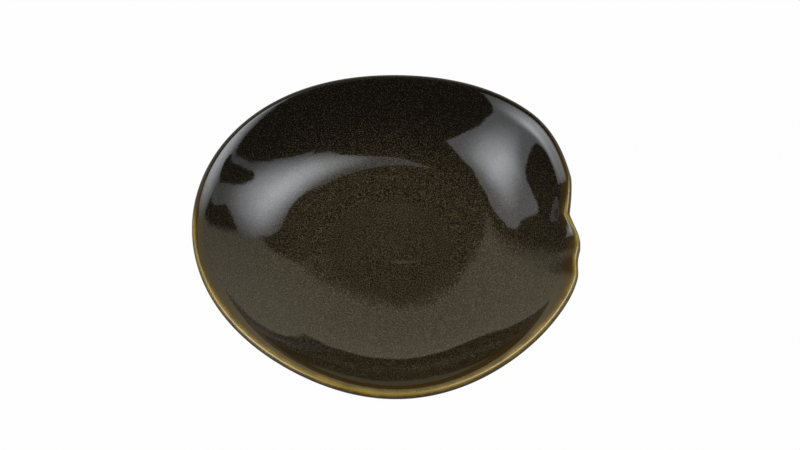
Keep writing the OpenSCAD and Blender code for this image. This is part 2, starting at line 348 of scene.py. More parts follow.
# %% A station's point in every slice
Station = namedtuple("Station", "side place coat")
SEAT_RADIUS = FOOT_RADIUS + SLIP_REACH + BARE_BAND / 2


def station_points(cut, station):
    """Distance from the foot's axis and height of a station, in each slice."""
    side, place, coat = station
    if side == "seat":
        return np.array((place + 0 * cut.height, SEAT_HEIGHT + 0 * cut.height))
    if side == "lip":
        radius, back = lip_round(mix(LIP_THICK, COATED_LIP, coat))
        slope = wall_slope(cut, 1)
        turn = slope + (math.pi / 2 - LIP_TAPER) * (1 - 2 * place)
        return wall_middle(cut, 1) - polar(back, slope) + polar(radius, turn)
    slope = wall_slope(cut, place)
    if side == "in":
        glaze = coat * (inside_glaze(place) + pools(cut, place))
        return wall_middle(cut, place) + polar(clay_thickness(place) / 2 + glaze, slope + math.pi / 2)
    across, height = wall_middle(cut, place) - polar(clay_thickness(place) / 2, slope + math.pi / 2)
    height = mix(SEAT_HEIGHT, height, smooth((across - SEAT_RADIUS) / WALL_THICK))
    return np.array((across, height)) + polar(coat * outside_glaze(place), slope - math.pi / 2)


# %% [markdown]
# Thin glaze and painted shade. The glaze breaks to amber on the lip, and the amber
# fades out towards the far side. The far wall and the far lip get painted shade: their
# colour is taken down towards black. Two numbers on each vertex carry this to the
# material: "thin" is 1 on the lip and falls to 0 where the amber ends, and the other
# is 1 on the far wall, where the shade is painted. How far a slice lies
# towards the far side is a cosine, 1 at the far side and -1 at the near one.

# %% Thin glaze and painted far shade
FAR_SIDE = 95
LIP_CREST = 0.35                     # where round the lip the glaze is thinnest
LIP_ARC = lip_radius * (math.pi - 2 * LIP_TAPER)
FRONT_AMBER = 6 * MM
SIDE_AMBER = 2.7 * MM
OUTER_AMBER = 3.6 * MM
FRONT_TO_SIDE = (-0.55, 0)           # towards the far side
AMBER_ENDS = (0.1, 0.5)              # towards the far side
FAR_SHADE_GROWS = (-0.5, 0.8)                # towards the far side
FAR_SHADE_GROWS_UP = (0.5, 0.95)             # on the way from the middle to the lip
print(f"the glaze goes {LIP_ARC / MM:.1f} mm round the lip")


def glaze_thinness(station):
    side, place, _ = station
    far = np.cos(np.radians(all_angles - FAR_SIDE))
    if side == "seat":
        return 0 * far
    if side == "lip":
        inwards = (LIP_CREST - place) * LIP_ARC
    elif side == "in":
        inwards = LIP_CREST * LIP_ARC + (1 - place) * MEAN_RADIUS
    else:
        inwards = (LIP_CREST - 1) * LIP_ARC - (1 - place) * MEAN_RADIUS
    inner_reach = mix(FRONT_AMBER, SIDE_AMBER, between(far, *FRONT_TO_SIDE))
    reach = inner_reach if inwards > 0 else OUTER_AMBER
    return np.clip(1 - abs(inwards) / reach, 0, 1) * (1 - between(far, *AMBER_ENDS))


# Painted shade: 1 on the far wall and the far lip, where the colour is painted darker.
def painted_far_shade(station):
    far = between(np.cos(np.radians(all_angles - FAR_SIDE)), *FAR_SHADE_GROWS)
    if station.side in ("out", "seat"):
        return 0 * far
    return far * (1 if station.side == "lip" else between(station.place, *FAR_SHADE_GROWS_UP))


# %% [markdown]
# Throwing and pressing. A wheel makes a form by turning one line, and so does
# bmesh.ops.spin. Each vertex keeps the number of its station through the spin, so
# it can then be pressed to its true place in its own direction. One wedge is spun
# and then copied round, which is quicker than one long spin.

# %% Spin a profile
MERGE = 0.0005 * MM
WEDGES = 16


def spun(profile, turns):
    """A bmesh of a profile of (distance, height) points, spun round the Z axis."""
    bm = bmesh.new()
    number = bm.verts.layers.int.new("station")
    chain = []
    for index, (across, height) in enumerate(profile):
        vert = bmesh.ops.create_vert(bm, co=(across, 0, height))["vert"][0]
        vert[number] = index
        chain.append(vert)
    edges = [bm.edges.new(pair) for pair in zip(chain, chain[1:])]
    bmesh.ops.spin(bm, geom=chain + edges, cent=(0, 0, 0), axis=(0, 0, 1),
                   angle=math.tau / WEDGES, steps=turns // WEDGES)
    wedge = bm.verts[:] + bm.edges[:] + bm.faces[:]
    for count in range(1, WEDGES):
        copied = bmesh.ops.duplicate(bm, geom=wedge)["geom"]
        verts = [part for part in copied if isinstance(part, bmesh.types.BMVert)]
        bmesh.ops.rotate(bm, verts=verts, cent=(0, 0, 0),
                         matrix=Matrix.Rotation(math.tau * count / WEDGES, 3, "Z"))
    bmesh.ops.remove_doubles(bm, verts=bm.verts[:], dist=MERGE)
    return bm


# %% Press a spun line
def pressed(stations):
    """Spins a line of stations, then presses every vertex to its place in the dish."""
    everywhere = slice_at(all_angles)
    before = round_slice()
    bm = spun([station_points(before, station) for station in stations], TURNS)
    number = bm.verts.layers.int["station"]
    thin = bm.verts.layers.float.new("thin")
    # this layer carries the painted shade of the far wall to the material
    deep = bm.verts.layers.float.new("deep")
    rings = [station_points(everywhere, station) for station in stations]
    thins = [glaze_thinness(station) for station in stations]
    deeps = [painted_far_shade(station) for station in stations]
    for vert in bm.verts:
        index = vert[number]
        turn = round(math.atan2(vert.co.y, vert.co.x) / math.tau * TURNS) % TURNS
        across, height = rings[index][:, turn]
        sideways, back = everywhere.direction[:, turn]
        vert.co = (FOOT_AXIS.x + across * sideways, FOOT_AXIS.y + across * back, height)
        vert[thin] = thins[index][turn]
        vert[deep] = deeps[index][turn]
    return bm


# %% Finish a piece
SHARP_ANGLE = math.radians(40)


def finished(name, bm, slot, *nodes):
    """Turns a closed bmesh into a piece of the dish, attached to the root body, and hides the given nodes.
    """
    bmesh.ops.recalc_face_normals(bm, faces=bm.faces[:])
    for face in bm.faces:
        face.smooth = True
    for edge in bm.edges:
        edge.smooth = edge.calc_face_angle(0) < SHARP_ANGLE
    open_edges = sum(len(edge.link_faces) != 2 for edge in bm.edges)
    mesh = bpy.data.meshes.new(name)
    bm.to_mesh(mesh)
    bm.free()
    piece = bpy.data.objects.new(name, mesh)
    bpy.context.scene.collection.objects.link(piece)
    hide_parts(*nodes)
    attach(piece, "root")
    print(name, "faces:", len(mesh.polygons), "open edges:", open_edges)
    return piece


# %% [markdown]
# Lines of stations. Rows of points crowd together at the seams between two coats,
# so that the smooth shading of both sides agrees there and the gloss runs on
# unbroken. Neighbouring coats start and end at the same place, because both are
# made from these lists.

# %% Lines of stations
AMBER_FROM = 1 - AMBER_BAND / MEAN_RADIUS
LINE_AT = (GLAZE_LINE + GLAZE_ROLL / 2) / MEAN_RADIUS
SEAM_ROWS = [0.02, 0.06, 0.14, 0.3]          # shares of a wide row, crowding towards a seam
WALL_ROWS = 72
BAND_ROWS = 14
LIP_ROWS = 20
OUTER_ROWS = 36


def places(start, end, count, seam_at_start=False, seam_at_end=False):
    """Places from start to end in even rows, with crowded rows at the seams."""
    row = (end - start) / count
    crowded_start = [start + row * share for share in SEAM_ROWS] if seam_at_start else []
    crowded_end = [end - row * share for share in reversed(SEAM_ROWS)] if seam_at_end else []
    even = [start + row * i for i in range(1, count)]
    return [start] + crowded_start + even + crowded_end + [end]


def line(side, shares, coat):
    return [Station(side, share, coat) for share in shares]


floor_and_wall = places(0, AMBER_FROM, WALL_ROWS, seam_at_end=True)
inner_lip = places(AMBER_FROM, 1, BAND_ROWS, seam_at_start=True)[:-1]
over_lip = places(0, 1, LIP_ROWS)
outer_lip = places(1, AMBER_FROM, BAND_ROWS, seam_at_end=True)[1:]
outer_wall = places(AMBER_FROM, LINE_AT, OUTER_ROWS, seam_at_start=True)
print("rows from the middle to the lip:", len(floor_and_wall) + len(inner_lip))

# %% [markdown]
# The clay body. It is the thrown and pressed clay under all of the glaze. Only its
# flat seat and a narrow band round the foot stay bare, but it is a whole closed
# shell, as the real one is. Most of it is hidden, so it takes only every second or
# third station.

# %% Clay body
SEAT_ROW = 1.5 * MM
bare_from = LINE_AT - 0.5 * GLAZE_ROLL / MEAN_RADIUS
clay_line = (line("in", floor_and_wall[::3] + inner_lip[::2], 0) + line("lip", over_lip[::2], 0)
             + line("out", outer_lip[::2] + outer_wall[1::2] + [bare_from], 0)
             + line("seat", [SEAT_RADIUS, SEAT_RADIUS - SEAT_ROW, 0], 0))
clay_body = finished("thrown_clay_body", pressed(clay_line), "bare_clay", "clay_body")

# %% [markdown]
# The three coats of glaze. The inside coat is a thick pool that thins up the wall,
# the rim coat is the thin amber glass over the lip, and the outside coat ends above
# the foot in a round roll, where the thick glaze stopped running in the kiln. A
# glaze could be a colour on the clay alone, but as a closed shell with its own
# thickness it stands proud of the bare clay, as the real one does.

# %% Inside coat and rim coat
inside_line = line("in", floor_and_wall, 1) + line("in", reversed(floor_and_wall), 0)
inside_coat = finished("inside_glaze_coat", pressed(inside_line), "dark_glaze", "inside_glaze")

rim_top = line("in", inner_lip, 1) + line("lip", over_lip, 1) + line("out", outer_lip, 1)
rim_under = [station._replace(coat=0) for station in reversed(rim_top)]
rim_line = rim_top + rim_under + rim_top[:1]
rim_coat = finished("rim_glaze_coat", pressed(rim_line), "amber_glaze", "rim_glaze")

# %% Outside coat
ROLL_STEPS = 8
roll_length = GLAZE_ROLL / MEAN_RADIUS
roll_turns = [math.pi / 2 * step / ROLL_STEPS for step in range(1, ROLL_STEPS)]
roll = [Station("out", LINE_AT - roll_length * math.sin(turn), math.cos(turn)) for turn in roll_turns]
roll_end = Station("out", LINE_AT - roll_length, 0)
outside_line = (line("out", outer_wall, 1) + roll + [roll_end]
                + line("out", reversed(outer_wall), 0) + line("out", outer_wall[:1], 1))
outside_coat = finished("outside_glaze_coat", pressed(outside_line), "dark_glaze", "outside_glaze")

# %% [markdown]
# The foot. A foot ring is a coil of clay joined on with slip and turned on the
# wheel, so it stays round while the rim is pressed. Its section narrows to the face
# that the dish stands on. The slip is smoothed into a hollow fillet on both sides,
# and the well inside the ring has a thin round-edged coat of glaze. A bevelled
# cylinder would be quicker, but a line spun round the foot's axis gives each piece
# its own section, and lets the slip fit the ring exactly.

# %% Foot ring
FOOT_TURNS = 240
ARC_STEPS = 8
FOOT_ROOT_WIDTH = 5 * MM
FOOT_FACE_WIDTH = 2.6 * MM
FOOT_EDGE = 0.5 * MM
FOOT_MIDDLE = FOOT_RADIUS - FOOT_ROOT_WIDTH / 2


def arc(centre, radius, start, end):
    turns = [math.radians(mix(start, end, step / ARC_STEPS)) for step in range(ARC_STEPS + 1)]
    return [(centre[0] + radius * math.cos(turn), centre[1] + radius * math.sin(turn)) for turn in turns]


def on_foot_axis(profile):
    bm = spun(profile, FOOT_TURNS)
    bmesh.ops.translate(bm, verts=bm.verts[:], vec=(FOOT_AXIS.x, FOOT_AXIS.y, 0))
    return bm


root_outer = (FOOT_MIDDLE + FOOT_ROOT_WIDTH / 2, FOOT_HEIGHT)
root_inner = (FOOT_MIDDLE - FOOT_ROOT_WIDTH / 2, FOOT_HEIGHT)
foot_profile = ([root_outer, root_inner]
                + arc((FOOT_MIDDLE - FOOT_FACE_WIDTH / 2, FOOT_EDGE), FOOT_EDGE, 180, 270)
                + arc((FOOT_MIDDLE + FOOT_FACE_WIDTH / 2, FOOT_EDGE), FOOT_EDGE, 270, 360) + [root_outer])
foot_piece = finished("turned_foot_ring", on_foot_axis(foot_profile), "bare_clay", "foot_ring")


# %% Slip round the foot ring
def side_of_foot(side, height):
    """Distance of the foot ring's side (-1 inner, 1 outer) from the axis at a height."""
    half = mix(FOOT_FACE_WIDTH / 2 + FOOT_EDGE, FOOT_ROOT_WIDTH / 2,
               (height - FOOT_EDGE) / (FOOT_HEIGHT - FOOT_EDGE))
    return FOOT_MIDDLE + side * half


def fillet(side):
    """The hollow side of the slip, from the seat down onto the foot ring."""
    low_height = FOOT_HEIGHT - SLIP_REACH / 2
    high = Vector((FOOT_MIDDLE + side * (FOOT_ROOT_WIDTH / 2 + SLIP_REACH), SEAT_HEIGHT))
    corner = Vector((FOOT_MIDDLE + side * FOOT_ROOT_WIDTH / 2, SEAT_HEIGHT))
    low = Vector((side_of_foot(side, low_height), low_height))
    shares = [step / ARC_STEPS for step in range(ARC_STEPS + 1)]
    return [high.lerp(corner, share).lerp(corner.lerp(low, share), share) for share in shares]


outer_fillet, inner_fillet = fillet(1), fillet(-1)
slip_profile = outer_fillet + [root_outer, root_inner] + inner_fillet[::-1] + outer_fillet[:1]
slip_piece = finished("smoothed_slip", on_foot_axis(slip_profile), "fired_slip", "luting_slip")

# %% Glaze in the foot's well
FOOT_GLAZE = 0.4 * MM
WELL_RADIUS = FOOT_RADIUS - FOOT_ROOT_WIDTH - SLIP_REACH - BARE_BAND / 2
well_edge = arc((WELL_RADIUS - FOOT_GLAZE, SEAT_HEIGHT), FOOT_GLAZE, 270, 360)
well_profile = [(0, SEAT_HEIGHT - FOOT_GLAZE)] + well_edge + [(0, SEAT_HEIGHT)]
well_coat = finished("foot_well_coat", on_foot_axis(well_profile), "dark_glaze", "foot_well_glaze")

# %% [markdown]
# Nodes by hand. A finish is a small tree of shader nodes. These helpers add one
# node with its values and link its inputs, so that each material below reads as a
# list of what it is made of. Every pattern reads Object coordinates, the place of
# a point in metres, so it lies still on its piece and has no seam.


# %% Node helpers
def new_material(name):
    material = bpy.data.materials.new(name)
    material.use_nodes = True
    material.node_tree.nodes.clear()
    return material, material.node_tree


def add(tree, kind, inputs=None, **settings):
    """Adds a node. inputs maps a socket's name or number to a value or to another socket."""
    node = tree.nodes.new(kind)
    for key, value in settings.items():
        setattr(node, key, value)
    for key, value in (inputs or {}).items():
        if isinstance(value, bpy.types.NodeSocket):
            tree.links.new(value, node.inputs[key])
        else:
            node.inputs[key].default_value = value
    return node


def math_node(tree, operation, *terms, clamp=False):
    node = add(tree, "ShaderNodeMath", dict(enumerate(terms)), operation=operation, use_clamp=clamp)
    return node.outputs[0]


def vector_node(tree, operation, *terms):
    return add(tree, "ShaderNodeVectorMath", dict(enumerate(terms)), operation=operation).outputs["Vector"]


def length_of(tree, vector):
    return add(tree, "ShaderNodeVectorMath", {0: vector}, operation="LENGTH").outputs["Value"]


def map_range(tree, value, start, end, low=0.0, high=1.0, kind="LINEAR"):
    """low where the value is at the start, high where it is at the end, and no further."""
    inputs = {"Value": value, "From Min": start, "From Max": end, "To Min": low, "To Max": high}
    return add(tree, "ShaderNodeMapRange", inputs, interpolation_type=kind).outputs[0]


# %% Pattern and colour helpers
def object_place(tree):
    return add(tree, "ShaderNodeTexCoord").outputs["Object"]


def grain(tree, size, detail=2.0):
    """Noise whose lumps are about size metres across, in object coordinates."""
    inputs = {"Vector": object_place(tree), "Scale": 1 / size, "Detail": detail, "Roughness": 0.5}
    return add(tree, "ShaderNodeTexNoise", inputs).outputs["Fac"]


def ramp(tree, factor, stops, smooth_steps=True):
    """A colour ramp over (place, colour) stops."""
    node = add(tree, "ShaderNodeValToRGB", {0: factor})
    node.color_ramp.interpolation = "EASE" if smooth_steps else "LINEAR"
    while len(node.color_ramp.elements) < len(stops):
        node.color_ramp.elements.new(1)
    for element, (place, colour) in zip(node.color_ramp.elements, stops):
        element.position = place
        element.color = (*colour, 1)
    return node.outputs["Color"]


def mixed(tree, share, first, second):
    node = add(tree, "ShaderNodeMix", data_type="RGBA")
    for key, value in ((0, share), (6, first), (7, second)):
        if isinstance(value, bpy.types.NodeSocket):
            tree.links.new(value, node.inputs[key])
        else:
            node.inputs[key].default_value = value if key == 0 else (*value, 1)
    return node.outputs[2]


def bump(tree, height, distance, normal=None):
    inputs = {"Height": height, "Distance": distance, "Strength": 1.0}
    if normal:
        inputs["Normal"] = normal
    return add(tree, "ShaderNodeBump", inputs).outputs["Normal"]


def surface(tree, inputs):
    shader = add(tree, "ShaderNodeBsdfPrincipled", inputs)
    add(tree, "ShaderNodeOutputMaterial", {"Surface": shader.outputs[0]})


# %% [markdown]
# The colour of the glaze. It is a thick brown glass full of tiny olive crystals, so
# its colour is a fine mottle about a quarter of a millimetre across. Where it is
# thin the light reaches the clay and comes back amber. On the far wall painted shade
# takes it down to almost black. The edge of the amber is broken up by the same mottle
# and by slower lumps, because glaze never runs down a wall evenly. A faint pale
# streak on the floor is a painted highlight.

# %% Mottle and painted far shade
MOTTLE = 0.25 * MM
UNDERGROUND = (0.008, 0.0045, 0.0005)
CRYSTAL = (0.126, 0.097, 0.049)
MOTTLE_STOPS = [(0.48, UNDERGROUND), (0.70, CRYSTAL)]
# Painted shade on the far wall: the mottle's lumps are dimmed, and near black is mixed in.
SHADE_DIMMING = 0.055
PAINTED_SHADE_COLOUR = (0.001, 0.0008, 0.0005)
PAINTED_SHADE_SHARE = 0.55


def mottled_brown(tree, lumps):
    return ramp(tree, lumps, MOTTLE_STOPS, smooth_steps=False)


def with_deep_brown(tree, lumps, deep):
    """The mottle, with painted shade on the far wall: its lumps dimmed and a share of near black mixed in.
    """
    dimmed_lumps = math_node(tree, "SUBTRACT", lumps, math_node(tree, "MULTIPLY", deep, SHADE_DIMMING))
    share = math_node(tree, "MULTIPLY", deep, PAINTED_SHADE_SHARE)
    return mixed(tree, share, mottled_brown(tree, dimmed_lumps), PAINTED_SHADE_COLOUR)


# %% Amber where the glaze is thin
BLACK = (0, 0, 0)
WHITE = (1, 1, 1)
AMBER_STOPS = [(0.0, (0.035, 0.025, 0.010)), (0.5, (0.048, 0.028, 0.007)), (0.7, (0.062, 0.034, 0.006)),
               (0.83, (0.11, 0.067, 0.012)), (0.93, (0.30, 0.20, 0.033)), (1.0, (0.38, 0.26, 0.05))]
AMBER_SHARE = [(0.0, BLACK), (0.45, WHITE)]
UNEVEN_SIZE = 5 * MM
UNEVEN = 0.24
FINELY_UNEVEN = 0.2
UNEVEN_FROM = 0.5          # the thinness from which the amber is fully uneven


def broken_up(tree, thin, lumps):
    """The thinness of the glaze, made uneven wherever it is more than 0."""
    slow = math_node(tree, "MULTIPLY_ADD", grain(tree, UNEVEN_SIZE), UNEVEN, -UNEVEN / 2)
    fine = math_node(tree, "MULTIPLY_ADD", lumps, FINELY_UNEVEN, -FINELY_UNEVEN / 2)
    share = math_node(tree, "MULTIPLY", thin, 1 / UNEVEN_FROM, clamp=True)
    change = math_node(tree, "MULTIPLY", math_node(tree, "ADD", slow, fine), share)
    return math_node(tree, "ADD", thin, change, clamp=True)


def with_amber(tree, colour, thinness):
    return mixed(tree, ramp(tree, thinness, AMBER_SHARE), colour, ramp(tree, thinness, AMBER_STOPS))


# %% Painted highlight streak on the floor's glaze
HIGHLIGHT_PALE = (0.15, 0.145, 0.135)
HIGHLIGHT_MIDDLE = (4.3 * MM, -0.8 * MM, 0)
HIGHLIGHT_REACH = (6 * MM, 0.9 * MM)
HIGHLIGHT_SHARE = 0.24


def painted_highlight_streak(tree):
    """The share of the painted highlight: the full share in its middle, and 0 past its ends."""
    moved = vector_node(tree, "SUBTRACT", object_place(tree), HIGHLIGHT_MIDDLE)
    scaled = vector_node(tree, "MULTIPLY", moved, (1 / HIGHLIGHT_REACH[0], 1 / HIGHLIGHT_REACH[1], 0))
    return map_range(tree, length_of(tree, scaled), 0.0, 1.0, HIGHLIGHT_SHARE, 0.0, "SMOOTHSTEP")


# %% [markdown]
# The gloss of the glaze. A real glaze surface is never flat: a faint orange peel
# and slow waves, only hundredths of a millimetre high, make the edges of every
# reflection waver. They are too low to model, so bump tilts the shading instead.
# The coat in the foot's well was not pressed and has no numbers for thin glaze and
# painted shade, so its glaze keeps the plain mottle.

# %% Glaze materials
GLASS_IOR = 1.6
GLOSS_ROUGHNESS = 0.06
SLOW_SIZE = 9 * MM
SLOW_HEIGHT = 0.05 * MM
PEEL_SIZE = 1.1 * MM
PEEL_HEIGHT = 0.006 * MM


def attribute(tree, name):
    return add(tree, "ShaderNodeAttribute", attribute_name=name).outputs["Fac"]


def glaze_material(name, has_attributes=True):
    material, tree = new_material(name)
    lumps = grain(tree, MOTTLE, 1.0)
    if has_attributes:
        # painted shade darkens the far wall
        colour = with_deep_brown(tree, lumps, attribute(tree, "deep"))
        colour = with_amber(tree, colour, broken_up(tree, attribute(tree, "thin"), lumps))
        # painted highlight: a pale streak mixed into the colour of the floor
        colour = mixed(tree, painted_highlight_streak(tree), colour, HIGHLIGHT_PALE)
    else:
        colour = mottled_brown(tree, lumps)
    slow = bump(tree, grain(tree, SLOW_SIZE, 1.0), SLOW_HEIGHT)
    peel = bump(tree, grain(tree, PEEL_SIZE), PEEL_HEIGHT, normal=slow)
    surface(tree, {"Base Color": colour, "Roughness": GLOSS_ROUGHNESS, "IOR": GLASS_IOR, "Normal": peel})
    print(name, "nodes:", len(tree.nodes))
    return material


dark_glaze = glaze_material("dark_iron_glaze")
foot_glaze = glaze_material("foot_well_iron_glaze", has_attributes=False)
for coat in (inside_coat, rim_coat, outside_coat):
    coat.data.materials.append(dark_glaze)
well_coat.data.materials.append(foot_glaze)

# %% [markdown]
# Bare clay and slip. Fired stoneware is a dry warm brown with iron specks and
# grit, and its foot keeps fine rings from the turning tool. A wave texture centred
# on the foot's axis draws the rings, and bump raises them. The slip is the same
# clay, finer and a little darker.

# %% Clay materials
CLAY_IOR = 1.45
DRY_ROUGHNESS = 0.85
LUMP_SIZE = 3 * MM
SPECK_SIZE = 0.7 * MM
GRIT_SIZE = 0.35 * MM
LUMPS_FROM, LUMPS_TO = 0.3, 0.7
SPECKS = [(0.66, BLACK), (0.74, WHITE)]
RING_SCALE = 380           # rings about 0.8 mm apart


def turning_rings(tree):
    centred = vector_node(tree, "SUBTRACT", object_place(tree), (FOOT_AXIS.x, FOOT_AXIS.y, 0))
    inputs = {"Vector": centred, "Scale": RING_SCALE, "Distortion": 1.5, "Detail": 2.0}
    return add(tree, "ShaderNodeTexWave", inputs, wave_type="RINGS", rings_direction="Z").outputs["Fac"]


def clay_material(name, light, dark, iron, grit_height, ring_height=0.0):
    material, tree = new_material(name)
    body = ramp(tree, grain(tree, LUMP_SIZE, 4.0), [(LUMPS_FROM, dark), (LUMPS_TO, light)])
    specks = ramp(tree, grain(tree, SPECK_SIZE, 1.0), SPECKS, smooth_steps=False)
    colour = mixed(tree, specks, body, iron)
    normal = bump(tree, grain(tree, GRIT_SIZE, 3.0), grit_height)
    if ring_height:
        normal = bump(tree, turning_rings(tree), ring_height, normal=normal)
    surface(tree, {"Base Color": colour, "Roughness": DRY_ROUGHNESS, "IOR": CLAY_IOR, "Normal": normal})
    print(name, "nodes:", len(tree.nodes))
    return material


bare_clay = clay_material("bare_stoneware", light=(0.36, 0.24, 0.14), dark=(0.25, 0.155, 0.085),
                          iron=(0.07, 0.035, 0.018), grit_height=0.05 * MM, ring_height=0.03 * MM)
fired_slip = clay_material("fired_slip", light=(0.29, 0.19, 0.11), dark=(0.22, 0.14, 0.08),
                           iron=(0.1, 0.055, 0.03), grit_height=0.02 * MM)
clay_body.data.materials.append(bare_clay)
foot_piece.data.materials.append(bare_clay)
slip_piece.data.materials.append(fired_slip)

# %% [markdown]
# The studio. A glossy dish shows its surroundings more than its own colour, so the
# surroundings are made as in a photographer's studio: two big soft boxes high on
# the left and right, dark card all round, and an opening behind the dish. None of
# them is attached to the dish. Directions are in degrees as seen from the dish,
# because that is how a reflection finds them.

# %% Studio helpers
LOOK_AT = Vector((0, 0, 0.021))


def staged(name, bm, material):
    mesh = bpy.data.meshes.new(name)
    bm.to_mesh(mesh)
    bm.free()
    thing = bpy.data.objects.new(name, mesh)
    bpy.context.scene.collection.objects.link(thing)
    thing.data.materials.append(material)
    print(name, "is staged")
    return thing


def direction(azimuth, elevation):
    """Unit vector. Azimuth 0 is behind the dish, positive to the right."""
    turn, climb = math.radians(azimuth), math.radians(elevation)
    return Vector((math.sin(turn) * math.cos(climb), math.cos(turn) * math.cos(climb), math.sin(climb)))


def seen_as_background(tree):
    """1 for camera, glossy and transmission rays, else 0."""
    path = add(tree, "ShaderNodeLightPath").outputs
    straight = math_node(tree, "ADD", path["Is Camera Ray"], path["Is Glossy Ray"], clamp=True)
    return math_node(tree, "ADD", straight, path["Is Transmission Ray"], clamp=True)


# %% [markdown]
# Soft boxes. Each is a flat panel that glows, hot in the middle like a real one,
# and it lights the dish as well as being mirrored in it. An area lamp would be a
# plain rectangle, but these have cut outlines, because the shape of each white
# reflection follows the outline of its box. The glaze also mirrors its own
# reflections, and there the glow is taken down to about half, so that these second
# stripes stay as faint as they are on the real dish.

# %% Glow of a soft box
SOFT_WHITE = (0.92, 0.95, 1, 1)
GLOW_END = 1.1                 # where the fading ends, as a share of the way to the oval's edge
FIRST_MIRRORING = 1.5          # a glossy depth past the first mirroring and before the second
LOST_AGAIN = 0.45              # share of the glow


def mirrored_once(tree, strength):
    """The strength, less what is lost where the glaze mirrors its own reflection of the light."""
    depth = add(tree, "ShaderNodeLightPath").outputs["Glossy Depth"]
    again = math_node(tree, "GREATER_THAN", depth, FIRST_MIRRORING)
    kept = math_node(tree, "SUBTRACT", 1.0, math_node(tree, "MULTIPLY", again, LOST_AGAIN))
    return math_node(tree, "MULTIPLY", kept, strength)


def glowing(name, glow_width, glow_height, centre_strength, edge_strength):
    """A glow that fades over an oval round the middle of its panel."""
    material, tree = new_material(name)
    scaled = vector_node(tree, "MULTIPLY", object_place(tree), (1 / glow_width, 1 / glow_height, 1))
    strength = map_range(tree, length_of(tree, scaled), 0.0, GLOW_END, centre_strength, edge_strength,
                         "SMOOTHSTEP")
    glow = add(tree, "ShaderNodeEmission", {"Color": SOFT_WHITE, "Strength": mirrored_once(tree, strength)})
    add(tree, "ShaderNodeOutputMaterial", {"Surface": glow.outputs[0]})
    return material


# %% Soft boxes
BOX_DISTANCE = 0.8
RIGHT_OUTLINE = [(36, 56), (39, 51), (43, 46), (46, 42), (48, 37), (50, 30), (58, 29), (65, 28), (63, 22),
                 (68, 18), (75, 29), (76, 36), (79, 41), (83, 43), (86, 42), (87, 36), (86, 28), (90, 28),
                 (91, 39), (95, 46), (100, 50), (110, 57), (121, 60), (115, 62), (127, 66), (121, 71),
                 (128, 80), (180, 86), (-60, 84), (-40, 77), (0, 78), (25, 72), (30, 69), (41, 68),
                 (42, 64), (40, 60), (37, 58)]
LEFT_OUTLINE = [(-143, 50), (-133, 54), (-120, 58), (-110, 60), (-95, 61), (-80, 62), (-70, 61), (-60, 57),
                (-50, 53), (-49, 51), (-51, 43), (-53, 37), (-57, 34), (-60, 33), (-62.5, 27), (-63, 20),
                (-65, 19), (-67, 22), (-71, 25), (-76, 28), (-81, 28), (-86, 26), (-93, 22), (-105, 21),
                (-133, 20), (-135, 35), (-139, 43)]


def soft_box(name, azimuth, elevation, tilt, corners, material):
    """A flat panel square to the view from the dish. Its corners are directions from there."""
    out = direction(azimuth, elevation)
    right = Vector((math.cos(math.radians(azimuth)), -math.sin(math.radians(azimuth)), 0))
    up = right.cross(out)
    tilt = math.radians(tilt)
    wide = right * math.cos(tilt) + up * math.sin(tilt)
    high = up * math.cos(tilt) - right * math.sin(tilt)
    bm = bmesh.new()
    outline = []
    for corner in corners:
        ray = direction(*corner)
        ray *= BOX_DISTANCE / ray.dot(out)
        outline.append(bmesh.ops.create_vert(bm, co=(ray.dot(wide), ray.dot(high), 0))["vert"][0])
    bm.faces.new(outline)
    bm.normal_update()
    bmesh.ops.triangulate(bm, faces=bm.faces[:])
    panel = staged(name, bm, material)
    turned = Matrix((wide, high, wide.cross(high))).transposed().to_4x4()
    panel.matrix_world = Matrix.Translation(LOOK_AT + out * BOX_DISTANCE) @ turned
    panel.visible_camera = False
    panel.visible_shadow = False


right_glow = glowing("right_soft_box", glow_width=0.265, glow_height=0.465,
                     centre_strength=6.4, edge_strength=0.65)
left_glow = glowing("left_soft_box", glow_width=0.446, glow_height=0.242,
                    centre_strength=6.1, edge_strength=1.2)
soft_box("right_soft_box", azimuth=72, elevation=57, tilt=-21.5, corners=RIGHT_OUTLINE, material=right_glow)
soft_box("left_soft_box", azimuth=-97, elevation=44, tilt=6.7, corners=LEFT_OUTLINE, material=left_glow)

# %% [markdown]
# White sweep and dark card. The ground of the photograph is pure white, so the
# world is white for the camera and in reflections, and weak as a light. A dome of
# dark card then takes it away from the reflections everywhere but behind the dish,
# where a dim net softens what is left. The card glows very faintly, as black card
# does in a lit room, and only reflections see the dome.

# %% White sweep
ROOM_LIGHT = 0.12


def world_light():
    world = bpy.data.worlds.new("studio")
    bpy.context.scene.world = world
    world.use_nodes = True
    tree = world.node_tree
    tree.nodes.clear()
    white = add(tree, "ShaderNodeBackground", {"Color": (*WHITE, 1), "Strength": 1.0})
    dim = add(tree, "ShaderNodeBackground", {"Color": (*WHITE, 1), "Strength": ROOM_LIGHT})
    seen = add(tree, "ShaderNodeMixShader", {0: seen_as_background(tree), 1: dim.outputs[0],
                                             2: white.outputs[0]})
    add(tree, "ShaderNodeOutputWorld", {"Surface": seen.outputs[0]})
    print("the world lights the dish at", ROOM_LIGHT)


world_light()

# %% Opening in the dark card
RIGHT_EDGE = (53, 56)          # degrees, from the clear opening to the full card
LEFT_EDGE = (-46, -57)
TOP_EDGE = (55.5, 58.5)
TOP_FALL = 0.32                # how fast the top edge comes down towards the right
TOP_FALLS_FROM = 2
LEFT_LEAN = 0.25               # how much the left edge leans over


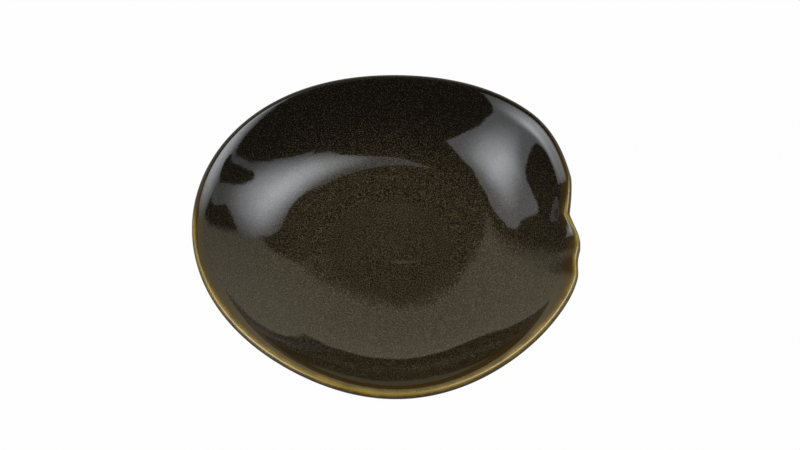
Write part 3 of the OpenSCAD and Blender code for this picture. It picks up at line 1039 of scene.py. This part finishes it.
def card_share(tree):
    """0 in the opening behind the dish and 1 on the card, with soft edges between them."""
    place = object_place(tree)
    parts = add(tree, "ShaderNodeSeparateXYZ", {0: place}).outputs
    flat = length_of(tree, vector_node(tree, "MULTIPLY", place, (1, 1, 0)))
    sideways = math_node(tree, "ARCTAN2", parts["X"], parts["Y"])
    up = math_node(tree, "ARCTAN2", parts["Z"], flat)
    beyond = math_node(tree, "MAXIMUM", sideways, math.radians(TOP_FALLS_FROM))
    sloping = math_node(tree, "MULTIPLY_ADD", beyond, TOP_FALL, up)
    leaning = math_node(tree, "MULTIPLY_ADD", up, -LEFT_LEAN, sideways)
    share = 0.0
    for value, (clear, full) in ((sideways, RIGHT_EDGE), (leaning, LEFT_EDGE), (sloping, TOP_EDGE)):
        past_edge = map_range(tree, value, math.radians(clear), math.radians(full))
        share = math_node(tree, "MAXIMUM", share, past_edge)
    return share


# %% Dark card
CARD_DISTANCE = 1.3
CARD_GLOW = 0.056
NET_COLOUR = (0.62, 0.575, 0.44, 1)


def dark_card():
    material, tree = new_material("black_card")
    net = add(tree, "ShaderNodeBsdfTransparent", {"Color": NET_COLOUR})
    card = add(tree, "ShaderNodeEmission", {"Color": SOFT_WHITE, "Strength": CARD_GLOW})
    both = add(tree, "ShaderNodeMixShader", {0: card_share(tree), 1: net.outputs[0], 2: card.outputs[0]})
    add(tree, "ShaderNodeOutputMaterial", {"Surface": both.outputs[0]})
    bm = bmesh.new()
    bmesh.ops.create_uvsphere(bm, u_segments=64, v_segments=32, radius=CARD_DISTANCE)
    dome = staged("black_cards", bm, material)
    dome.visible_camera = False
    dome.visible_diffuse = False
    dome.visible_shadow = False
    dome.visible_transmission = False


dark_card()

# %% [markdown]
# The ground. The photograph's dish stands on pure white. The floor is plain paper
# that keeps the dish's shadow. For the camera it is lifted to white from under the
# foot outwards. In reflections it is lifted much further out, so that the outside
# of the lip mirrors the darker floor near the dish as its thin outline.

# %% Floor
FLOOR_SIZE = 6
FLOOR_WHITE = 0.4
LIFT = 0.985
SEEN_LIFT = (0.018, 0.034)          # from plain paper to white, in metres from the middle
MIRRORED_LIFT = (0.09, 0.3)


def floor_piece():
    material, tree = new_material("white_floor")
    distance = length_of(tree, object_place(tree))
    near = map_range(tree, distance, *SEEN_LIFT, 0.0, LIFT)
    far = map_range(tree, distance, *MIRRORED_LIFT, 0.0, LIFT)
    is_camera = add(tree, "ShaderNodeLightPath").outputs["Is Camera Ray"]
    lift = add(tree, "ShaderNodeMix", {0: is_camera, 2: far, 3: near}).outputs[0]
    share = math_node(tree, "MULTIPLY", lift, seen_as_background(tree))
    paper = add(tree, "ShaderNodeBsdfDiffuse", {"Color": (FLOOR_WHITE, FLOOR_WHITE, FLOOR_WHITE, 1)})
    white = add(tree, "ShaderNodeEmission", {"Color": (*WHITE, 1), "Strength": 1.0})
    both = add(tree, "ShaderNodeMixShader", {0: share, 1: paper.outputs[0], 2: white.outputs[0]})
    add(tree, "ShaderNodeOutputMaterial", {"Surface": both.outputs[0]})
    bm = bmesh.new()
    bmesh.ops.create_grid(bm, x_segments=1, y_segments=1, size=FLOOR_SIZE)
    staged("floor", bm, material)


floor_piece()

# %% [markdown]
# The camera. The rim's outline gives the height of the camera, 57.5 degrees above
# the table. A long lens from 65 centimetres gives the slight difference in size
# between the near and the far rim. Shift puts the dish where it is in the picture.

# %% Camera
CAMERA_ELEVATION = 57.5
CAMERA_DISTANCE = 0.65
LENS = 113.8
SHIFT_X = 0.0182
SHIFT_Y = 0.0113

camera_data = bpy.data.cameras.new("camera")
camera_data.lens = LENS
camera_data.shift_x = SHIFT_X
camera_data.shift_y = SHIFT_Y
camera = bpy.data.objects.new("camera", camera_data)
bpy.context.scene.collection.objects.link(camera)
towards = direction(180, CAMERA_ELEVATION)
camera.location = LOOK_AT + towards * CAMERA_DISTANCE
camera.rotation_euler = (-towards).to_track_quat("-Z", "Y").to_euler()
bpy.context.scene.camera = camera
bpy.context.scene.view_settings.view_transform = "Standard"
print(f"camera {CAMERA_DISTANCE} m away, {CAMERA_ELEVATION} degrees up")

# %% Sizes and finish
print("CAD box:", cad_box)
